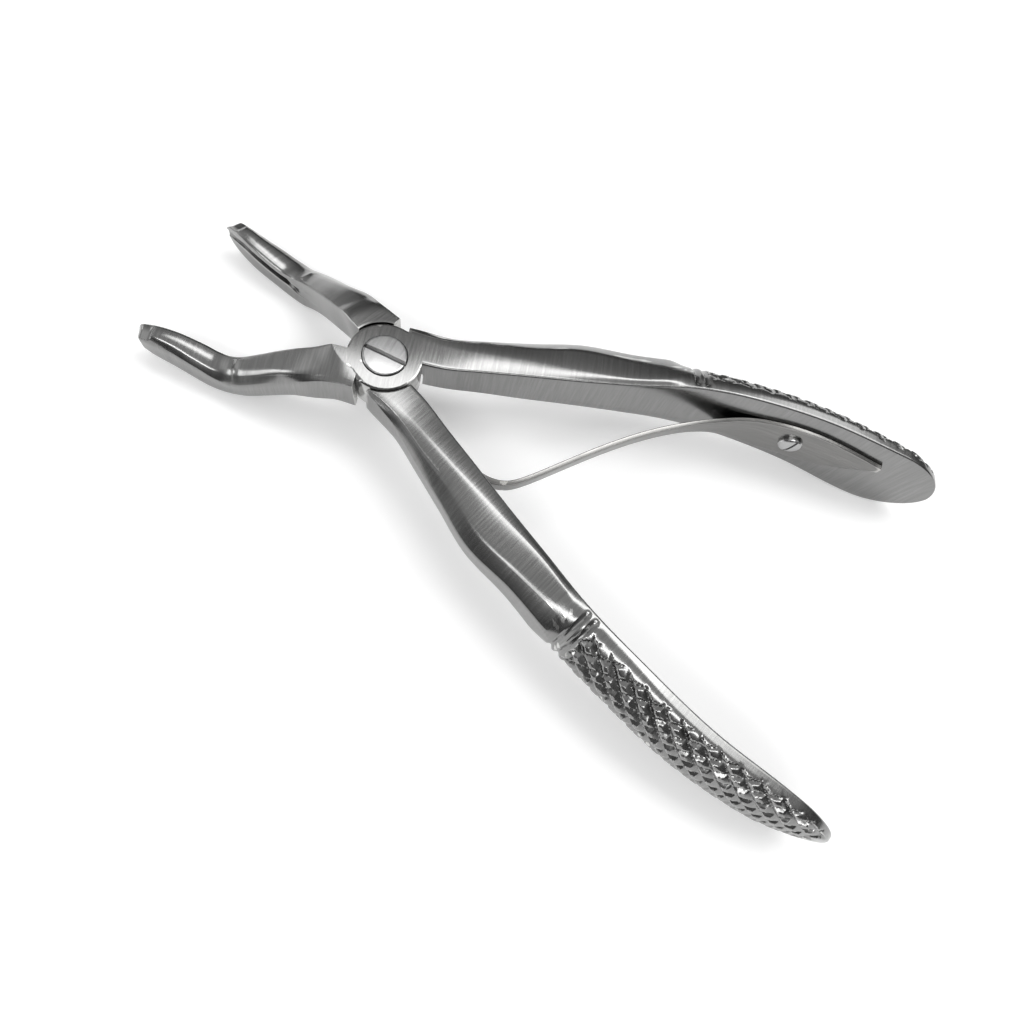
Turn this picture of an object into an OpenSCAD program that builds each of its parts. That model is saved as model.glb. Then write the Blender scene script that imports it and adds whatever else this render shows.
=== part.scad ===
// Spring-handled extraction forceps: two mirrored halves that lap at a screw
// joint, with a leaf spring on the upper half that pushes the handles open.
// Each half is drawn with the beaks shut, then swung open by half the travel.

/* [Joint] */
// Thickness of the joint, both laps together
joint_t = 6; // [5:0.1:7.5]
// Radius of each half's lap disc
disc_r = 5.2; // [4.8:0.1:6]
// Gap between a lap disc and the shoulder that wraps it
shoulder_gap = 0.25; // [0.15:0.05:0.4]
// Gap between the two lap faces
lap_gap = 0.06; // [0.04:0.02:0.12]
// Angle that one half turns through from open to shut
open_angle = 32.5; // [22:0.5:33]

/* [Pivot screw] */
// Radius of the screw head
head_r = 3.1; // [2.6:0.1:3.5]
// Depth of the head's seat in the upper half
head_seat = 1.5; // [1.2:0.1:1.8]
// Height of the head above the joint face
head_proud = 0.25; // [0.1:0.05:0.5]
// Radius of the screw shank
shank_r = 1.6; // [1.2:0.1:2]
// Radial running clearance round the screw
screw_play = 0.06; // [0.03:0.01:0.09]
// Solid metal left under the screw's blind hole
screw_floor = 0.7; // [0.4:0.1:1.2]
// Width of the screwdriver slot
slot_w = 0.55; // [0.4:0.05:0.8]
// Depth of the screwdriver slot
slot_d = 0.7; // [0.5:0.1:1]

/* [Handles] */
// Length from the pivot to the end of a handle
handle_len = 87.3; // [80:0.5:96]
// Width of the neck beside the joint
neck_w = 5.7; // [5.2:0.1:6.6]
// Width of the neck at its fullest
belly_w = 7.5; // [6.6:0.1:9]
// Width of the flat on top of the neck, beside the joint
flat_w = 3.8; // [3:0.1:4.6]
// Width of that flat where it runs out at the grip
flat_end_w = 1.2; // [0.8:0.1:2]
// Height of the neck's flat outer side at its narrowest
side_h = 3; // [2:0.1:4]
// How far the inner faces bow out from the centre plane
handle_bow = 6.6; // [5.5:0.1:8]
// How far the palm ends sweep back in from the bow
handle_sweep = 3.4; // [2:0.1:4.5]
// How far the palm ends droop below the middle plane
handle_drop = 3.2; // [1:0.1:6]
// Thickness of the palm
palm_t = 5.6; // [4.6:0.1:6.6]
// Width of the palm's flat inner face
palm_h = 15; // [12:0.1:17]
// Radius along the edges of the inner face
edge_r = 0.3; // [0.2:0.05:0.8]

/* [Checkered grip] */
// Where the two ring grooves start, from the pivot
ring_at = 43; // [40:0.5:46]
// Depth of a ring groove
ring_d = 0.4; // [0.2:0.05:0.6]
// Length of one checkering diamond
check_len = 3.4; // [2.8:0.1:4.2]
// Depth of the cuts between the diamonds
check_d = 0.5; // [0.3:0.05:0.7]

/* [Beaks] */
// Distance from the pivot to the beak tips
beak_len = 36.3; // [33:0.5:41]
// How far the beaks step down below the joint's middle plane
beak_drop = 8.6; // [6:0.1:10]
// How far the tips rise again from the lowest point
tip_rise = 1.3; // [0.5:0.1:3]
// Height of the beaks between the joint and the bend
shank_h = 5.3; // [4.6:0.1:6]
// Thickness of the beaks between the joint and the bend
beak_w = 4; // [3.6:0.1:4.8]
// Height of the flat outer side of a beak at its narrowest
beak_side_h = 2.2; // [1.6:0.1:3]
// Distance from the pivot to the crest where the joint's flat top ends
root_r = 7.4; // [6.4:0.1:8]
// Fall from that crest to the beak's crown
root_step = 0.35; // [0.1:0.05:0.5]
// Height of the spoon at its widest
spoon_h = 6; // [5.2:0.1:7]
// Thickness of the spoon at its middle
spoon_t = 2.6; // [2:0.1:3.2]
// Depth of the groove inside the spoon
hollow_d = 0.9; // [0.4:0.1:1.2]
// Width of the groove inside the spoon
hollow_w = 2.8; // [2:0.1:3.4]
// Length of the cut-down tip
tip_len = 3.2; // [2:0.1:4.5]
// Depth of the cut on top of the tip
tip_cut = 1.2; // [0.6:0.1:1.8]
// Widest gap between the shut beaks
beak_gap = 3.7; // [2.4:0.1:4.4]
// Gap between the tips when shut
tip_gap = 0.4; // [0.2:0.1:0.8]

/* [Leaf spring] */
// Thickness of the leaf
leaf_t = 0.7; // [0.5:0.05:0.9]
// Widest part of the leaf, at its screw
leaf_w = 8; // [6:0.2:9]
// Width of the leaf's free arm
leaf_arm_w = 2.4; // [2:0.1:3.6]
// Height of the leaf's middle line above the joint's underside
leaf_z = 1.9; // [1.2:0.1:2.6]
// Distance from the pivot to the leaf's screw
leaf_screw_at = 62.5; // [60:0.5:65]
// Distance from the pivot to the leaf's clamped end
leaf_root_at = 76.5; // [74:0.5:79]
// Distance from the pivot to where the leaf slides on the lower half
leaf_reach = 19; // [18:0.2:23]
// Radius of the curl at the leaf's sliding end
curl_r = 5.8; // [4:0.1:6.5]
// Clearance between the leaf and the two inner faces
leaf_gap = 0.04; // [0.02:0.01:0.1]
// Radius of the leaf screw's head
leaf_head_r = 1.8; // [1.5:0.1:2.1]
// Height of the leaf screw's head
leaf_head_h = 0.9; // [0.6:0.1:1.2]
// Radius of the leaf screw's shank
leaf_shank_r = 0.9; // [0.7:0.1:1.1]
// Length of the leaf screw's thread in the palm
leaf_thread = 3; // [2:0.1:3.6]

/* [Hidden] */
$fn = 96;
mid = joint_t / 2;            // height of the middle plane, where the laps meet
wrap_r = disc_r + shoulder_gap;
seam = 0.25;                  // inner faces' distance from the centre plane at the joint
thread_gap = 0.02;            // between a screw's thread and its tapped hole
tall = 60;                    // longer than anything that a cutter passes through
steel = [0.62, 0.62, 0.63];
bright = [0.74, 0.74, 0.75];

// Handle stations: share of the length, inner face's offset, depth, middle line's
// height, half height, fullness of the outer crown (2 is an ellipse, more is
// squarer), end of the top's flat, end of its slope, fall of the slope, half
// height of the outer side
HANDLE = [
    [0.025, seam, neck_w * 0.94, mid, mid, 6, neck_w * 0.78, neck_w * 0.86, 0.04, mid * 0.97],
    [0.06, seam, neck_w * 0.98, mid, mid, 5, flat_w, neck_w * 0.83, 0.06, mid * 0.78],
    [0.1, handle_bow * 0.065, neck_w * 1.01, mid, mid, 4, flat_w * 0.92, neck_w * 0.84, 0.1, mid * 0.62],
    [0.16, handle_bow * 0.2, neck_w * 1.09, mid * 1.01, mid * 1.07, 3, flat_w * 0.82, neck_w * 0.9, 0.14, side_h * 0.53],
    [0.23, handle_bow * 0.345, belly_w * 0.91, mid * 1.03, mid * 1.19, 2.4, flat_w * 0.72, belly_w * 0.68, 0.18, side_h / 2],
    [0.31, handle_bow * 0.515, belly_w, mid * 1.06, mid * 1.27, 2, flat_w * 0.58, belly_w * 0.76, 0.28, side_h * 0.53],
    [0.4, handle_bow * 0.7, belly_w * 0.86, mid * 1.14, mid + palm_h * 0.09, 2, flat_end_w * 1.25, belly_w * 0.57, 0.45, side_h * 0.75],
    [0.5, handle_bow * 0.92, palm_t * 1.05, mid * 1.17, palm_h * 0.36, 1.8, flat_end_w, belly_w * 0.4, 0.6, side_h * 0.9],
    [0.6, handle_bow * 0.99, palm_t, mid * 1.13 - handle_drop * 0.03, palm_h * 0.41, 1.75, flat_end_w, belly_w * 0.4, 0.6, side_h * 0.9],
    [0.74, handle_bow - handle_sweep * 0.1, palm_t * 0.93, mid - handle_drop * 0.3, palm_h * 0.465, 1.75, flat_end_w, belly_w * 0.4, 0.6, side_h * 0.9],
    [0.87, handle_bow - handle_sweep * 0.56, palm_t * 0.8, mid - handle_drop * 0.68, palm_h / 2, 1.8, flat_end_w, belly_w * 0.4, 0.6, side_h * 0.9],
    [1, handle_bow - handle_sweep, palm_t * 0.65, mid - handle_drop, palm_h / 2, 1.9, flat_end_w, belly_w * 0.4, 0.6, side_h * 0.9]];

// Beak stations: share of the length, height of the middle line, half height,
// inner face's offset, thickness, half height of the outer side, end of the top's
// slope, fall of the slope, depth of the groove
BEAK = [
    [0.06, 0, mid, seam, beak_w * 1.4, mid * 0.97, beak_w * 1.15, 0.04, 0],
    [0.17, -beak_drop * 0.01, mid - root_step * 0.7, seam, beak_w * 1.32, beak_side_h * 0.9, beak_w, 0.15, 0],
    [0.26, -beak_drop * 0.155, mid + root_step, beak_gap * 0.26, beak_w * 1.1, beak_side_h * 0.73, beak_w * 0.8, 0.2, 0],
    [0.36, -beak_drop * 0.39, mid, beak_gap * 0.34, beak_w, beak_side_h * 0.6, beak_w * 0.69, 0.25, 0],
    [0.46, -beak_drop * 0.63, shank_h / 2, beak_gap * 0.46, beak_w, beak_side_h / 2, beak_w * 0.6, 0.3, 0],
    [0.54, -beak_drop * 0.83, shank_h * 0.49, beak_gap * 0.51, beak_w, beak_side_h / 2, beak_w * 0.5, 0.3, 0],
    [0.61, -beak_drop * 0.975, shank_h * 0.54, beak_gap * 0.47, beak_w * 0.97, beak_side_h * 0.68, beak_w * 0.47, 0.3, hollow_d * 0.2],
    [0.68, -beak_drop, spoon_h * 0.475, beak_gap * 0.42, beak_w * 0.88, beak_side_h * 0.86, beak_w * 0.4, 0.3, hollow_d],
    [0.76, tip_rise * 0.3 - beak_drop, spoon_h * 0.485, beak_gap * 0.34, spoon_t * 1.15, spoon_h * 0.35, spoon_t * 0.42, 0.3, hollow_d],
    [0.84, tip_rise * 0.6 - beak_drop, spoon_h / 2, tip_gap / 2 + beak_gap * 0.15, spoon_t, spoon_h * 0.35, spoon_t * 0.3, 0.25, hollow_d * 0.9],
    [0.92, tip_rise * 0.85 - beak_drop, spoon_h * 0.465, tip_gap / 2 + beak_gap * 0.06, spoon_t * 0.77, spoon_h * 0.28, spoon_t * 0.23, 0.2, hollow_d * 0.5],
    [1, tip_rise - beak_drop, spoon_h * 0.27, tip_gap / 2, spoon_t * 0.35, spoon_h * 0.13, spoon_t * 0.13, 0.1, 0]];

// Smooth curve through one column of a table of stations
function span(t, x, i = 0) = i >= len(t) - 2 || x < t[i + 1][0] ? i : span(t, x, i + 1);
function steep(t, i, c) =
    let(a = max(i - 1, 0), b = min(i + 1, len(t) - 1))
    (t[b][c] - t[a][c]) / (t[b][0] - t[a][0]);
function at(t, x, c) =
    let(i = span(t, x), w = t[i + 1][0] - t[i][0], u = (x - t[i][0]) / w, v = 1 - u)
    t[i][c] * (1 + 2 * u) * v * v + steep(t, i, c) * w * u * v * v
    + t[i + 1][c] * u * u * (3 - 2 * u) - steep(t, i + 1, c) * w * u * u * v;

// A loft through rings of points; each quad splits along its even corners, so
// that sinking the even points leaves a pyramid at each odd one
function centre(ring) = [for (c = [0:2]) [for (q = ring) q[c]] * [for (q = ring) 1] / len(ring)];
module loft(rings) {
    n = len(rings[0]);
    m = len(rings);
    polyhedron(
        points = concat([for (r = rings) each r], [centre(rings[0]), centre(rings[m - 1])]),
        faces = concat(
            [for (j = [0:n - 1]) [(j + 1) % n, j, m * n]],
            [for (j = [0:n - 1]) [(m - 1) * n + j, (m - 1) * n + (j + 1) % n, m * n + 1]],
            [for (i = [0:m - 2], j = [0:n - 1])
                let(k = (j + 1) % n, a = i * n + j, b = i * n + k, c = a + n, d = b + n)
                each (i + j) % 2 == 0 ? [[a, b, d], [a, d, c]] : [[a, b, c], [b, d, c]]]),
        convexity = 8);
}

// Handle: where the rings stand and how deep the grip is cut at each
crown_n = 8;
check_x = ring_at + 4.2;
pitch = check_len / 2;
check_rows = floor((handle_len * 0.965 - check_x) / pitch);
end_x = check_x + check_rows * pitch;
neck_rings = 20;
RING_X = concat(
    [for (i = [0:neck_rings - 1]) handle_len * 0.025 + (ring_at - handle_len * 0.025) * i / neck_rings],
    [ring_at, ring_at + 0.6, ring_at + 1.2, ring_at + 1.8, ring_at + 2.4, ring_at + 3],
    [for (i = [0:check_rows]) check_x + i * pitch],
    [for (i = [1:7]) end_x + (handle_len - end_x) * (1 - pow(1 - i / 7, 2))]);
grip_first = neck_rings + 6;

function ramp(t) = let(u = min(max(t, 0), 1)) u * u * (3 - 2 * u);
function palm_round(x) =
    let(r = palm_h * 0.62, d = max(x - handle_len + r, 0) / r) sqrt(max(1 - d * d, 0.0004));
function inner_y(x) = at(HANDLE, x / handle_len, 1);
function mid_z(x) = at(HANDLE, x / handle_len, 3);
function ring_cut(i) = i == neck_rings + 1 || i == neck_rings + 4 ? ring_d : 0;
function grip_cut(i, k) =
    i >= grip_first && i <= grip_first + check_rows && k >= 2 && k <= 2 * crown_n - 2
    && (i + k) % 2 == 0 ? check_d : 0;

// Upper half of a neck's outline, as offsets from the inner face and the middle
// line: flat, slope, hollow shoulder, flat outer side
function neck_half(s, d, h, r) =
    let(flat = at(HANDLE, s, 6), line = at(HANDLE, s, 7), fall = at(HANDLE, s, 8), side = at(HANDLE, s, 9))
    [[r, h], [(r + flat) / 2, h], [flat, h], [(flat + line) / 2, h - fall * 0.4], [line, h - fall],
     [line + (d - line) * 0.4, h - fall - (h - fall - side) * 0.5], [d - 0.1, side], [d, side * 0.6], [d, 0]];

// The same number of points round the palm's crown
function palm_half(s, d, h, r) =
    let(p = 2 / at(HANDLE, s, 5))
    [for (k = [0:crown_n]) let(a = k * 90 / crown_n) [r + (d - r) * pow(sin(a), p), h * pow(cos(a), p)]];

// One handle ring: the inner face's upper corner, over the outer side and back
// under, then the lower corner
function handle_ring(i) =
    let(x = RING_X[i], s = x / handle_len, f = palm_round(x), y = inner_y(x), z = mid_z(x),
        d = at(HANDLE, s, 2) * (0.3 + 0.7 * f), h = at(HANDLE, s, 4) * f, r = min(edge_r, h * 0.5, d * 0.3),
        w = ramp((x - ring_at + 4) / 5), half = neck_half(s, d, h, r) * (1 - w) + palm_half(s, d, h, r) * w)
    concat(
        [[x, y, z + h - r], [x, y + r * 0.3, z + h - r * 0.3]],
        [for (k = [0:2 * crown_n])
            let(a = k * 90 / crown_n, cut = ring_cut(i) + grip_cut(i, k), q = half[min(k, 2 * crown_n - k)])
            [x, y + q[0] - cut * sin(a), z + (k > crown_n ? -q[1] : q[1]) - cut * cos(a)]],
        [[x, y + r * 0.3, z - h + r * 0.3], [x, y, z - h + r]]);

module handle() {
    loft([for (i = [0:len(RING_X) - 1]) handle_ring(i)]);
}

// Beak: rings square to its middle line, closest over the root, the bend and the
// tip, with the grooved face towards the other beak
tip_s = 1 - tip_len / beak_len;
BEAK_S = concat(
    [for (i = [0:15]) 0.066 + 0.194 * i / 16],
    [for (i = [0:7]) 0.26 + 0.26 * i / 8],
    [for (i = [0:5]) 0.52 + 0.12 * i / 6],
    [for (i = [0:8]) 0.64 + (tip_s - 0.64) * i / 8],
    [for (i = [1:6]) tip_s + (1 - tip_s) * i / 6]);

// The joint's flat top runs out to a crest round the pivot: on the side of the lap
// it closes in towards the outer side, on the shoulder's side it keeps its distance
function crest_r(x, y, lap) = root_r - (lap ? (root_r - disc_r * 0.8) * min(atan2(-y, -x) / 90, 1) : 0);
function root_top(x, y, z, lap) =
    let(w = ramp((norm([x, y]) - crest_r(x, y, lap)) / 1.4)) z * w + mid * (1 - w);

function beak_ring(i, up) =
    let(s = BEAK_S[i], e = 0.004, lean = atan2(at(BEAK, s + e, 1) - at(BEAK, s - e, 1), 2 * e * beak_len),
        h = at(BEAK, s, 2), y = at(BEAK, s, 3), w = at(BEAK, s, 4), side = at(BEAK, s, 5),
        line = at(BEAK, s, 6), fall = at(BEAK, s, 7), hol = at(BEAK, s, 8), r = min(edge_r, w * 0.3),
        g = min(hollow_w / 2, h * 0.6), cut = tip_cut * ramp((s - tip_s) * beak_len / 0.7),
        half = [[hol * 0.8, g * 0.55], [0, g], [0, h - r], [r * 0.3, h - r * 0.3], [r, h],
            [(r + line) / 2, h - fall * 0.3], [line, h - fall],
            [line + (w - line) * 0.4, h - fall - (h - fall - side) * 0.5], [w, side]],
        all = concat([[hol, 0]], half, [[w, 0]],
            [for (k = [len(half) - 1:-1:0]) [half[k][0], -half[k][1]]]))
    [for (k = [0:len(all) - 1])
        let(q = all[k], z = q[1] > 0 ? min(q[1], h - cut * (1 + q[0] / w) / 1.5) : q[1],
            p = [-s * beak_len + z * sin(lean), -y - q[0], at(BEAK, s, 1) + z * cos(lean)])
        [p[0], p[1], mid + (k >= 4 && k <= 7 ? root_top(p[0], p[1], p[2], up > 0)
            : k >= len(all) - 7 && k <= len(all) - 4 ? -root_top(p[0], p[1], -p[2], up < 0) : p[2])]];

module beak(up) {
    loft([for (i = [0:len(BEAK_S) - 1]) beak_ring(i, up)]);
}

// One half, shut, before its lap is cut: up is 1 for the upper lap, -1 for the lower
module half_blank(up) {
    difference() {
        union() {
            handle();
            beak(up);
            translate([0, 0, mid + (up > 0 ? lap_gap / 2 : -mid)])
                cylinder(r = disc_r, h = mid - lap_gap / 2);
        }
        translate([0, 0, up > 0 ? mid + lap_gap / 2 - tall : mid - lap_gap / 2])
            cylinder(r = wrap_r, h = tall);
    }
}

module upper_half() {
    color(steel) rotate([0, 0, open_angle / 2]) difference() {
        half_blank(1);
        translate([0, 0, joint_t - head_seat]) cylinder(r = head_r + screw_play, h = tall);
        cylinder(r = shank_r + screw_play, h = tall);
        on_leaf_screw() translate([0, 0, -leaf_thread - thread_gap])
            cylinder(r = leaf_shank_r + thread_gap, h = tall, $fn = 48);
    }
}

module lower_half() {
    color(steel) rotate([0, 0, -open_angle / 2]) difference() {
        mirror([0, 1, 0]) half_blank(-1);
        translate([0, 0, screw_floor]) cylinder(r = shank_r + thread_gap, h = tall);
    }
}

// A slot for a screwdriver across a head whose top is at height z
module slot(w, d, z, turn) {
    rotate([0, 0, turn]) translate([-tall / 2, -w / 2, z - d]) cube([tall, w, tall]);
}

// The pivot screw threads into the lower half and stops short of its underside
module pivot_screw() {
    color(bright) difference() {
        union() {
            translate([0, 0, screw_floor + thread_gap])
                cylinder(r = shank_r, h = joint_t - screw_floor - thread_gap);
            translate([0, 0, joint_t - head_seat + screw_play])
                cylinder(r = head_r, h = head_seat - screw_play + head_proud);
        }
        slot(slot_w, slot_d, joint_t + head_proud, 4);
    }
}

// Points off the inner faces: the upper half's as drawn shut, and the lower
// half's seen from the upper half with the forceps open
function face_slope(x) = atan2(inner_y(x + 0.5) - inner_y(x - 0.5), 1);
function off_face(x, off) = let(b = face_slope(x)) [x + off * sin(b), inner_y(x) - off * cos(b)];
function across(p) =
    [p[0] * cos(open_angle) - p[1] * sin(open_angle), -p[0] * sin(open_angle) - p[1] * cos(open_angle)];

// The leaf's middle line: clamped flat on the palm, one curve over the gap, and a
// curl that slides on the lower half
leaf_off = leaf_t / 2 + leaf_gap;
leaf_lift_at = leaf_screw_at - 5;
curl_in = 50;                 // where the curl starts, in degrees before its contact
curl_out = 25;                // and how far it carries on past it
curl_mid = off_face(leaf_reach, curl_r + leaf_off);
function curl(a) = across(curl_mid + curl_r * [sin(a), cos(a)]);
lift = off_face(leaf_lift_at, leaf_off);
lift_slope = face_slope(leaf_lift_at);
land = curl(curl_in);
land_slope = curl_in - open_angle;
leaf_span = norm(land - lift);
lift_pull = lift - 0.4 * leaf_span * [cos(lift_slope), sin(lift_slope)];
land_pull = land + 0.12 * leaf_span * [cos(land_slope), sin(land_slope)];
LEAF_MID = concat(
    [for (i = [0:11]) off_face(leaf_root_at + (leaf_lift_at - leaf_root_at) * i / 12, leaf_off)],
    [for (i = [0:32]) let(u = i / 32, v = 1 - u)
        v * v * v * lift + 3 * u * v * v * lift_pull + 3 * u * u * v * land_pull + u * u * u * land],
    [for (i = [1:12]) curl(curl_in - (curl_in + curl_out) * i / 12)]);
leaf_last = len(LEAF_MID) - 1;
function leaf_side(i, off) =
    let(d = LEAF_MID[min(i + 1, leaf_last)] - LEAF_MID[max(i - 1, 0)])
    LEAF_MID[i] + off * [-d[1], d[0]] / norm(d);

// The leaf's outline on the palm: distance from the pivot, upper edge and lower
// edge, as heights off its middle line; the root's point turns up
LEAF_PLAN = [
    [0, leaf_arm_w * 0.7, -leaf_arm_w * 0.3], [leaf_screw_at - 19, leaf_arm_w * 0.6, -leaf_arm_w * 0.4],
    [leaf_screw_at - 13, leaf_w * 0.25, -leaf_w * 0.2], [leaf_screw_at - 8, leaf_w * 0.38, -leaf_w * 0.42],
    [leaf_screw_at - 3, leaf_w * 0.46, -leaf_w * 0.5], [leaf_screw_at + 1, leaf_w * 0.47, -leaf_w * 0.5],
    [leaf_screw_at + 5, leaf_w * 0.44, -leaf_w * 0.46], [leaf_root_at - 5, leaf_w * 0.38, -leaf_w * 0.25],
    [leaf_root_at, leaf_w * 0.28, leaf_w * 0.12]];

module leaf_spring() {
    color(bright) rotate([0, 0, open_angle / 2]) difference() {
        translate([0, 0, leaf_z]) intersection() {
            linear_extrude(height = leaf_w * 2, center = true)
                polygon(concat(
                    [for (i = [0:leaf_last]) leaf_side(i, leaf_t / 2)],
                    [for (i = [leaf_last:-1:0]) leaf_side(i, -leaf_t / 2)]));
            rotate([90, 0, 0]) linear_extrude(height = tall, center = true)
                polygon(concat([for (p = LEAF_PLAN) [p[0], p[1]]],
                    [for (i = [len(LEAF_PLAN) - 1:-1:0]) [LEAF_PLAN[i][0], LEAF_PLAN[i][2]]]));
        }
        on_leaf_screw() translate([0, 0, -leaf_t])
            cylinder(r = leaf_shank_r + screw_play, h = leaf_t * 4, $fn = 48);
    }
}

// The leaf's screw stands square on the palm face
module on_leaf_screw() {
    translate([leaf_screw_at, inner_y(leaf_screw_at), leaf_z])
        rotate([0, 0, face_slope(leaf_screw_at)]) rotate([90, 0, 0]) children();
}
module leaf_screw() {
    seat = leaf_t + 2 * leaf_gap + 0.02;
    color(bright) rotate([0, 0, open_angle / 2]) on_leaf_screw() difference() {
        union() {
            translate([0, 0, -leaf_thread]) cylinder(r = leaf_shank_r, h = leaf_thread + seat, $fn = 48);
            translate([0, 0, seat]) cylinder(r = leaf_head_r, h = leaf_head_h, $fn = 64);
        }
        slot(slot_w * 0.7, leaf_head_h * 0.5, seat + leaf_head_h, 78);
    }
}

upper_half();
lower_half();
pivot_screw();
leaf_spring();
leaf_screw();
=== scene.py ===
import bpy
import bmesh
import math
import random
from mathutils import Matrix, Vector


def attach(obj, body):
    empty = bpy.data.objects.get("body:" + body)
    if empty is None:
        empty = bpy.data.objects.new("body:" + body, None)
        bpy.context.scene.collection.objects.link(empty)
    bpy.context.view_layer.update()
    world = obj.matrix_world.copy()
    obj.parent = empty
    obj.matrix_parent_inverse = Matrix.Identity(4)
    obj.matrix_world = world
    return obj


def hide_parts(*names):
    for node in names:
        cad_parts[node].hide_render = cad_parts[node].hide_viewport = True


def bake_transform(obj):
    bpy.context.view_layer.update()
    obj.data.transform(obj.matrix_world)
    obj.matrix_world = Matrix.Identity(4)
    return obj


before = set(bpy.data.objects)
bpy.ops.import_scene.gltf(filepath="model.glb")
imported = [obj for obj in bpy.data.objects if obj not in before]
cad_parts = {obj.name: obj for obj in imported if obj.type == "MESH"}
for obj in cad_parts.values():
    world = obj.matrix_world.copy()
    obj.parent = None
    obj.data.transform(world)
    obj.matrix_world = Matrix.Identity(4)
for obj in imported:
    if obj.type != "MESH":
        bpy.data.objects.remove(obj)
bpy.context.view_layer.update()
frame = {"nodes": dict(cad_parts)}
print("frame loaded:", ", ".join(frame["nodes"]))

mm = 0.001

# what both halves share, in millimetres and degrees; each half is drawn shut, then swung open
joint = {
    "thick": 6.0,
    "disc": 5.2,
    "wrap": 5.45,          # the shoulder round the other half's disc
    "lapGap": 0.06,
    "openAngle": 32.5,
    "rimBevel": (0.25, 0.12),      # how wide and how high
    "crown": 0.0085,       # the flats round the joint are ground very slightly round
    "crownShift": 3.2,     # along the handle the crown's middle moves out this far
    "under": 0.012,        # handle and beak lie this much below the disc's face
    "headSeat": 1.5,
    "headRadius": 3.1,
    "shank": 1.6,
    "play": 0.06,
    "cutReach": 20,        # the cutting bodies reach this far
}
mid = joint["thick"] / 2      # height of the plane where the laps meet
halfAngle = joint["openAngle"] / 2


def ramp(t):
    # a smooth rise from 0 to 1
    t = min(max(t, 0.0), 1.0)
    return t * t * (3 - 2 * t)


def steep(rows, i, column):
    # slope of one column of a table at row i
    a, b = max(i - 1, 0), min(i + 1, len(rows) - 1)
    return (rows[b][column] - rows[a][column]) / (rows[b][0] - rows[a][0])


def at(rows, x, column):
    # smooth curve through one column of a table of stations
    i = 0
    while i < len(rows) - 2 and x >= rows[i + 1][0]:
        i += 1
    wide = rows[i + 1][0] - rows[i][0]
    u = (x - rows[i][0]) / wide
    v = 1 - u
    return (rows[i][column] * (1 + 2 * u) * v * v + steep(rows, i, column) * wide * u * v * v
            + rows[i + 1][column] * u * u * (3 - 2 * u) - steep(rows, i + 1, column) * wide * u * u * v)


def bend(a, c, b, n):
    # curve from a to b that leans towards c
    points = []
    for i in range(n + 1):
        t = i / n
        points.append(tuple((1 - t) ** 2 * p + 2 * t * (1 - t) * q + t * t * r for p, q, r in zip(a, c, b)))
    return points


def spread(a, b, n):
    # n even steps that start at a and stop short of b
    return [a + (b - a) * i / n for i in range(n)]


def lengths(points):
    # how far along the line each point lies
    run = [0.0]
    for a, b in zip(points, points[1:]):
        run.append(run[-1] + math.dist(a, b))
    return run


def evenly(points, n):
    # the same line with n points, evenly spaced along it
    run = lengths(points)
    out, j = [], 0
    for i in range(n):
        s = run[-1] * i / (n - 1)
        while j < len(points) - 2 and run[j + 1] < s:
            j += 1
        t = (s - run[j]) / max(run[j + 1] - run[j], 1e-9)
        out.append(tuple(p + (q - p) * t for p, q in zip(points[j], points[j + 1])))
    return out


def makePiece(name, points, faces, turn=0.0):
    # points in millimetres, turned about the pivot by turn degrees
    c, s = math.cos(math.radians(turn)), math.sin(math.radians(turn))
    mesh = bpy.data.meshes.new(name)
    mesh.from_pydata([(x * c - y * s, x * s + y * c, z) for x, y, z in points], [], faces)
    mesh.validate()
    piece = bpy.data.objects.new(name, mesh)
    bpy.context.scene.collection.objects.link(piece)
    facing = bmesh.new()
    facing.from_mesh(mesh)
    bmesh.ops.recalc_face_normals(facing, faces=facing.faces)
    facing.to_mesh(mesh)
    facing.free()
    return piece


def loft(rings):
    # skin over a row of rings, closed by a fan at each end
    n, points, faces = len(rings[0]), [], []
    for ring in rings:
        points += ring
    for i in range(len(rings) - 1):
        for j in range(n):
            k = (j + 1) % n
            faces.append((i * n + j, i * n + k, (i + 1) * n + k, (i + 1) * n + j))
    for ring, start in ((rings[0], 0), (rings[-1], (len(rings) - 1) * n)):
        points.append(tuple(sum(p[c] for p in ring) / n for c in range(3)))
        faces += [(start + j, start + (j + 1) % n, len(points) - 1) for j in range(n)]
    return points, faces


def lathe(profile, around=96, height=None):
    # profile of (radius, z) from the axis to the axis; height may lift single points
    points, faces = [], []
    for r, z in profile[1:-1]:
        for j in range(around):
            a = 2 * math.pi * j / around
            x, y = r * math.cos(a), r * math.sin(a)
            points.append((x, y, height(x, y, z) if height else z))
    rows = len(profile) - 2
    for i in range(rows - 1):
        for j in range(around):
            k = (j + 1) % around
            faces.append((i * around + j, i * around + k, (i + 1) * around + k, (i + 1) * around + j))
    points += [(0, 0, profile[0][1]), (0, 0, profile[-1][1])]
    for ring, centre in ((0, rows * around), ((rows - 1) * around, rows * around + 1)):
        faces += [(ring + j, ring + (j + 1) % around, centre) for j in range(around)]
    return points, faces


def combine(piece, tool, how):
    # one boolean, applied at once
    cut = piece.modifiers.new(how, "BOOLEAN")
    cut.operation, cut.solver, cut.object = how, "MANIFOLD", tool
    graph = bpy.context.evaluated_depsgraph_get()
    mesh = bpy.data.meshes.new_from_object(piece.evaluated_get(graph))
    piece.modifiers.clear()
    piece.data = mesh
    bpy.data.objects.remove(tool)


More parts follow.
